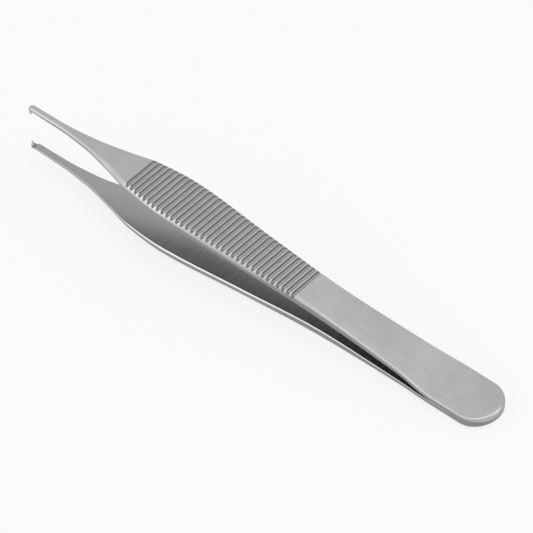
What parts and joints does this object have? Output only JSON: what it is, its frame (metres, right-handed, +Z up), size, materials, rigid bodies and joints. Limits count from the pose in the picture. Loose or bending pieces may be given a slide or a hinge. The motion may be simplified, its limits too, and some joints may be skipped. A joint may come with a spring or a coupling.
{
  "type": "thumb forceps",
  "caption": "Sprung steel thumb forceps: two arms welded at the heel, with a broad cross-grooved grip and fine toothed tips.",
  "frame": {"origin": "middle of the bounding box in plan, on the level that the instrument rests on", "axes": "+X along the instrument towards the tips, +Z up from the table, +Y across the arms"},
  "size_m": [0.12, 0.0114, 0.0143],
  "materials": {
    "satin_steel": "satin"
  },
  "bodies": {
    "root": {"upper_arm": "satin_steel", "lower_arm": "satin_steel"}
  },
  "joints": []
}
